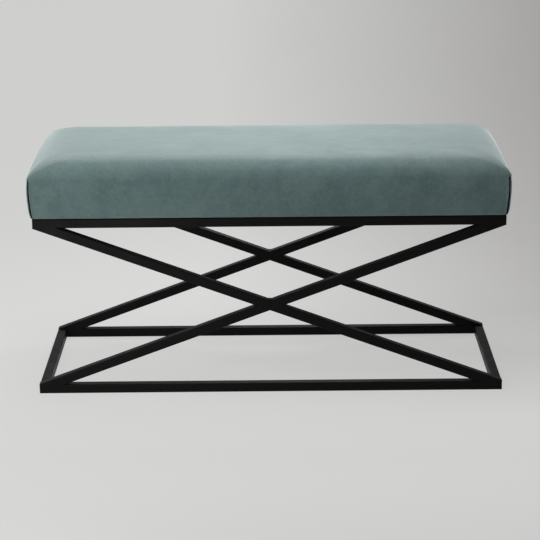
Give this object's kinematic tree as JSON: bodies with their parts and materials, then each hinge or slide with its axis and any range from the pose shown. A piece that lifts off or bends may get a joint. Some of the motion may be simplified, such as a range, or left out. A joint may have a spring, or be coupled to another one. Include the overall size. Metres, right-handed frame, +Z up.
{
  "type": "upholstered bench",
  "caption": "Low bench with a boxy padded velvet seat on a welded square-tube frame, open underneath, with crossed diagonals along the front and the rear.",
  "frame": {"origin": "centre of the footprint, on the floor", "axes": "+X to the right along the bench's length, +Y to the rear, +Z up"},
  "size_m": [1.025, 0.416, 0.514],
  "materials": {
    "frame_black": "satin black powder coat with a fine texture",
    "weld_black": "ground weld under the same black powder coat",
    "zinc_steel": "bright zinc plate",
    "plywood": "raw birch plywood",
    "foam": "open-cell upholstery foam",
    "wadding": "white polyester wadding",
    "velvet": "short-pile velvet, dusty teal, with a mottled nap",
    "dust_cloth": "black non-woven cloth",
    "staple_wire": "galvanised wire"
  },
  "bodies": {
    "root": {"front_top_rail": "frame_black", "rear_top_rail": "frame_black", "left_top_cross_rail": "frame_black", "right_top_cross_rail": "frame_black", "front_bottom_rail": "frame_black", "rear_bottom_rail": "frame_black", "left_bottom_cross_rail": "frame_black", "right_bottom_cross_rail": "frame_black", "front_long_diagonal": "frame_black", "front_upper_half_diagonal": "frame_black", "front_lower_half_diagonal": "frame_black", "rear_long_diagonal": "frame_black", "rear_upper_half_diagonal": "frame_black", "rear_lower_half_diagonal": "frame_black", "top_rail_end_plates": "frame_black", "bottom_rail_end_plates": "frame_black", "seat_fixing_tabs": "frame_black", "diagonal_foot_welds": "weld_black", "front_crossing_welds": "weld_black", "rear_crossing_welds": "weld_black", "frame_corner_welds": "weld_black", "seat_screw_washers": "zinc_steel", "seat_insert_nuts": "zinc_steel", "seat_fixing_screws": "zinc_steel", "seat_base_board": "plywood", "foam_block": "foam", "wadding_layer": "wadding", "velvet_cover": "velvet", "dust_cover": "dust_cloth", "cover_staples": "staple_wire", "dust_cover_staples": "staple_wire"}
  },
  "joints": []
}
